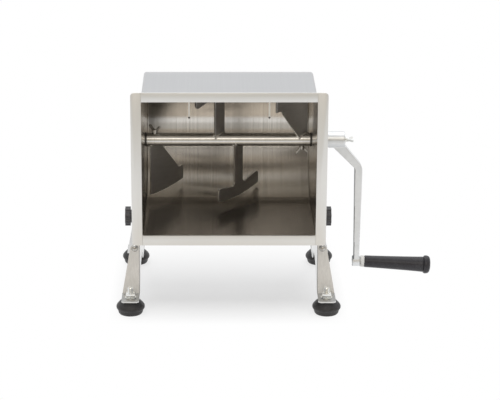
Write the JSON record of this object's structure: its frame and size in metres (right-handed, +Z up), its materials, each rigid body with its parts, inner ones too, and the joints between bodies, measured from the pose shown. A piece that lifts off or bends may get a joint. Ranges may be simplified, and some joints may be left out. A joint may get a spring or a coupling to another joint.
{
  "type": "hand crank meat mixer",
  "caption": "Hand crank meat mixer: a tilting stainless U-shaped tank with a paddle shaft, turned by a side crank, on two folded side plates with rubber feet and lock knobs.",
  "frame": {"origin": "on the floor plane of the four feet, midway between them, straight under the shaft axis", "axes": "+Z up, +X along the shaft towards the crank, -Y the way the tank's mouth faces when it is tipped, as at rest"},
  "size_m": [0.4754, 0.282, 0.3493],
  "materials": {
    "tank_steel": "brushed stainless sheet",
    "stand_steel": "brushed stainless plate",
    "shaft_steel": "turned and polished stainless",
    "paddle_steel": "satin stainless plate",
    "zinc": "bright zinc plating",
    "crank_casting": "cast and tumbled",
    "foot_rubber": "moulded black rubber",
    "black_plastic": "fine textured black moulding",
    "nylon": "turned white nylon",
    "seal_rubber": "moulded black rubber",
    "brass": "turned brass"
  },
  "bodies": {
    "stand": {"side_plate_left": "stand_steel", "side_plate_right": "stand_steel", "crossmember": "stand_steel", "crossmember_bolts": "zinc", "leg_dome_screws": "zinc", "foot_front_left": "foot_rubber", "foot_front_right": "foot_rubber", "foot_rear_left": "foot_rubber", "foot_rear_right": "foot_rubber", "foot_studs": "zinc", "foot_nuts": "zinc", "foot_washers": "zinc", "lock_bolt_left": "zinc", "lock_bolt_right": "zinc", "lock_spacer_left": "zinc", "lock_spacer_right": "zinc", "lock_washer_left": "zinc", "lock_washer_right": "zinc", "tilt_bush_left": "nylon", "tilt_bush_right": "nylon"},
    "tank": {"tank_wrap": "tank_steel", "tank_rim": "tank_steel", "mouth_pins": "shaft_steel", "end_wall_left": "tank_steel", "end_wall_right": "tank_steel", "trunnion_left": "shaft_steel", "trunnion_right": "shaft_steel", "retaining_ring_left": "zinc", "retaining_ring_right": "zinc", "shaft_bush_left": "nylon", "shaft_bush_right": "nylon", "tilt_quadrant_left": "stand_steel", "tilt_quadrant_right": "stand_steel"},
    "mixing_shaft": {"shaft_tube": "shaft_steel", "paddle_end_left": "paddle_steel", "paddle_end_right": "paddle_steel", "paddle_centre_lower": "paddle_steel", "paddle_centre_upper": "paddle_steel", "drive_spindle": "shaft_steel", "idler_spindle": "shaft_steel", "idler_clip": "zinc", "shaft_seal_left": "seal_rubber", "shaft_seal_right": "seal_rubber", "crank_arm": "crank_casting", "crank_washer": "zinc", "grip_pin": "zinc", "grip_ring": "nylon"},
    "grip": {"crank_grip": "black_plastic", "grip_cap": "black_plastic"},
    "knob_left": {"lock_knob_left": "black_plastic", "knob_insert_left": "brass"},
    "knob_right": {"lock_knob_right": "black_plastic", "knob_insert_right": "brass"},
    "wing_left": {"wing_screw_left": "zinc"},
    "wing_right": {"wing_screw_right": "zinc"},
    "wing_crank": {"wing_screw_crank": "zinc"}
  },
  "joints": [
    {"name": "tank_tilt", "type": "hinge", "parent": "stand", "child": "tank", "pos_m": [0, 0, 0.236], "axis": [-1, 0, 0], "range_deg": [0, 90]},
    {"name": "shaft_turn", "type": "hinge", "parent": "tank", "child": "mixing_shaft", "pos_m": [0, 0, 0.236], "axis": [1, 0, 0], "continuous": true},
    {"name": "grip_spin", "type": "hinge", "parent": "mixing_shaft", "child": "grip", "pos_m": [0.19555, 0, 0.042], "axis": [0.9984, 0, -0.0558], "continuous": true},
    {"name": "knob_left_turn", "type": "hinge", "parent": "stand", "child": "knob_left", "pos_m": [-0.146, 0, 0.1144], "axis": [-1, 0, 0], "range_deg": [0, 360]},
    {"name": "knob_right_turn", "type": "hinge", "parent": "stand", "child": "knob_right", "pos_m": [0.146, 0, 0.1144], "axis": [1, 0, 0], "range_deg": [0, 360]},
    {"name": "wing_left_turn", "type": "hinge", "parent": "mixing_shaft", "child": "wing_left", "pos_m": [-0.11, 0, 0.25], "axis": [0, 0, 1], "range_deg": [0, 360]},
    {"name": "wing_right_turn", "type": "hinge", "parent": "mixing_shaft", "child": "wing_right", "pos_m": [0.11, 0, 0.222], "axis": [0, 0, -1], "range_deg": [0, 360]},
    {"name": "wing_crank_turn", "type": "hinge", "parent": "mixing_shaft", "child": "wing_crank", "pos_m": [0.18, 0, 0.236], "axis": [1, 0, 0], "range_deg": [0, 360]}
  ]
}
